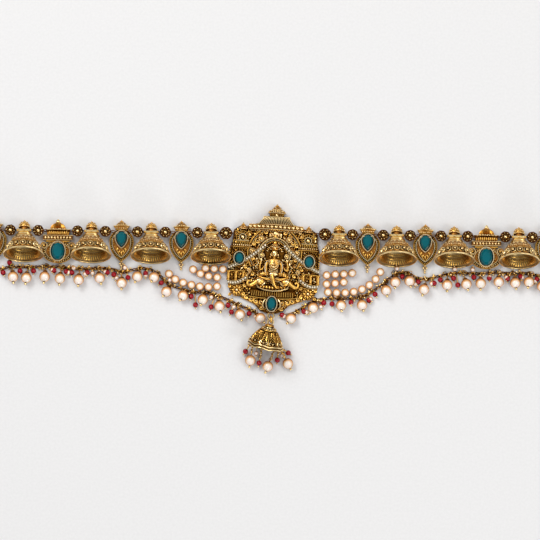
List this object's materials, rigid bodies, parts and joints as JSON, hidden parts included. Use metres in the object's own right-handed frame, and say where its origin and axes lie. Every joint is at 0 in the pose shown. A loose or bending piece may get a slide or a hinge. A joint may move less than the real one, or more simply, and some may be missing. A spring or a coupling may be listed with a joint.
{
  "type": "oddiyanam waist belt",
  "caption": "Waist belt of cast gold-plated links with bells, green stones, a figure pendant, pearl strands, pearl and bead drops and a dome drop, closed by a plain chain.",
  "frame": {"origin": "on the flat back of the middle pendant, on the line that the links share", "axes": "+X along the belt, +Y to its upper edge, +Z out of its face"},
  "size_m": [0.3103, 0.1829, 0.017],
  "materials": {
    "antique_gold": "antique gold plating, dark in the recesses",
    "dark_gold": "oxidised gold plating with bright dots",
    "chain_gold": "polished gold plating",
    "green_stone": "cut teal green glass, foiled behind",
    "pearl": "cream pink pearl lustre",
    "red_bead": "polished red glass",
    "thread": "waxed thread"
  },
  "bodies": {
    "root": {"back_chain_left": "chain_gold", "back_chain_right": "chain_gold", "bell_left_1": "antique_gold", "bell_left_2": "antique_gold", "bell_left_3": "antique_gold", "bell_left_4": "antique_gold", "bell_right_1": "antique_gold", "bell_right_2": "antique_gold", "bell_right_3": "antique_gold", "bell_right_4": "antique_gold", "clasp_hook": "chain_gold", "dome_beads": "pearl", "dome_drop": "antique_gold", "dome_ring": "antique_gold", "drop_chain_left": "chain_gold", "drop_chain_right": "chain_gold", "drop_pearls_left": "pearl", "drop_pearls_right": "pearl", "flower_left_1": "dark_gold", "flower_left_2": "dark_gold", "flower_left_3": "dark_gold", "flower_left_4": "dark_gold", "flower_left_5": "dark_gold", "flower_left_6": "dark_gold", "flower_left_7": "dark_gold", "flower_left_8": "dark_gold", "flower_right_1": "dark_gold", "flower_right_2": "dark_gold", "flower_right_3": "dark_gold", "flower_right_4": "dark_gold", "flower_right_5": "dark_gold", "flower_right_6": "dark_gold", "flower_right_7": "dark_gold", "flower_right_8": "dark_gold", "pear_left_1": "antique_gold", "pear_left_1_stone": "green_stone", "pear_left_2": "antique_gold", "pear_left_2_stone": "green_stone", "pear_left_3": "antique_gold", "pear_left_3_stone": "green_stone", "pear_right_1": "antique_gold", "pear_right_1_stone": "green_stone", "pear_right_2": "antique_gold", "pear_right_2_stone": "green_stone", "pear_right_3": "antique_gold", "pear_right_3_stone": "green_stone", "pendant": "antique_gold", "pendant_stone_left": "green_stone", "pendant_stone_low": "green_stone", "pendant_stone_right": "green_stone", "pot_left_1": "antique_gold", "pot_left_1_stone": "green_stone", "pot_right_1": "antique_gold", "pot_right_1_stone": "green_stone", "red_beads_left": "red_bead", "red_beads_right": "red_bead", "strand_pearls_left": "pearl", "strand_pearls_right": "pearl", "strand_threads_left": "thread", "strand_threads_right": "thread"}
  },
  "joints": []
}
